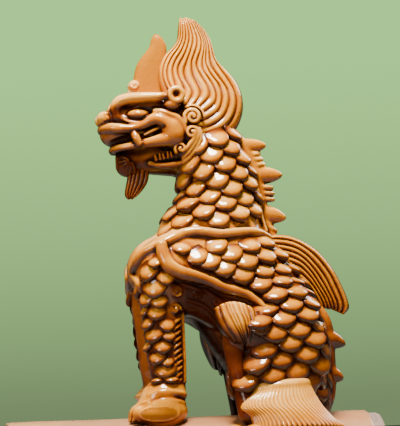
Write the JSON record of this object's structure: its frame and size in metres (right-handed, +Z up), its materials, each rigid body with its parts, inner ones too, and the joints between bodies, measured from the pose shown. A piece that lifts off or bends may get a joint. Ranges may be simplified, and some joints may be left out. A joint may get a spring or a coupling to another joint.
{
  "type": "ridge beast roof ornament",
  "caption": "Seated scaly ridge beast with a flame mane, horn, back fin and spines, glazed amber and fired in one with its half-round ridge tile.",
  "frame": {"origin": "middle of the underside of the tile, on the plane of symmetry", "axes": "+Z up, X along the ridge with the beast looking along -X, Y across the ridge"},
  "size_m": [0.43, 0.208, 0.5451],
  "materials": {
    "amber_glaze": "glossy amber lead glaze, dark brown where it pools in the carving",
    "bare_clay": "unglazed fired clay, matt"
  },
  "bodies": {
    "root": {"ridge_beast": "amber_glaze"}
  },
  "joints": []
}
